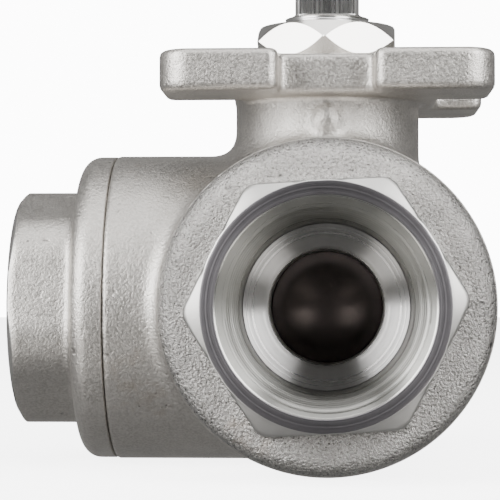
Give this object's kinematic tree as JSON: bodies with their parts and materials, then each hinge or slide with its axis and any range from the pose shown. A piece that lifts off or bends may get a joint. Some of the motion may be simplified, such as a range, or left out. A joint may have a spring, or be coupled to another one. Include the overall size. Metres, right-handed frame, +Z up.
{
  "type": "three-way ball valve",
  "caption": "Three-way ball valve: cast body with screwed hexagon end caps, an L-bored ball, packed stem and a mounting pad with corner ears.",
  "frame": {"origin": "middle of the underside of the valve's bounding box; the stem axis stands at x = +0.0105 m and the port axes at z = +0.0218 m", "axes": "+Y along the run towards the back port, -X out of the branch port, +Z up the stem through the mounting pad"},
  "size_m": [0.066, 0.087, 0.0708],
  "materials": {
    "cast_steel": "bead-blasted stainless casting with a fine grain",
    "machined_steel": "turned stainless steel",
    "polished_steel": "polished stainless steel",
    "spring_steel": "plain spring steel",
    "ptfe": "white PTFE",
    "rubber": "black fluoro-rubber"
  },
  "bodies": {
    "housing": {"body": "cast_steel", "front_end_cap": "cast_steel", "branch_end_cap": "cast_steel", "back_end_cap": "cast_steel", "front_cap_gasket": "ptfe", "branch_cap_gasket": "ptfe", "back_cap_gasket": "ptfe", "front_seat": "ptfe", "branch_seat": "ptfe", "back_seat": "ptfe", "blind_side_seat": "ptfe", "thrust_washer": "ptfe", "lower_packing_ring": "ptfe", "middle_packing_ring": "ptfe", "upper_packing_ring": "ptfe"},
    "stem_group": {"stem": "machined_steel", "stem_o_ring": "rubber", "gland_ring": "machined_steel", "lower_spring_washer": "spring_steel", "upper_spring_washer": "spring_steel", "lock_washer": "spring_steel", "stem_nut": "machined_steel"},
    "ball_body": {"ball": "polished_steel"}
  },
  "joints": [
    {"name": "stem_turn", "type": "hinge", "parent": "housing", "child": "stem_group", "pos_m": [0.0105, 0, 0.0218], "axis": [0, 0, 1], "range_deg": [0, 90]},
    {"name": "ball_turn", "type": "hinge", "parent": "housing", "child": "ball_body", "pos_m": [0.0105, 0, 0.0218], "axis": [0, 0, 1], "range_deg": [0, 90]}
  ],
  "couplings": [
    {"joint": "ball_turn", "follows": "stem_turn", "ratio": 1}
  ]
}
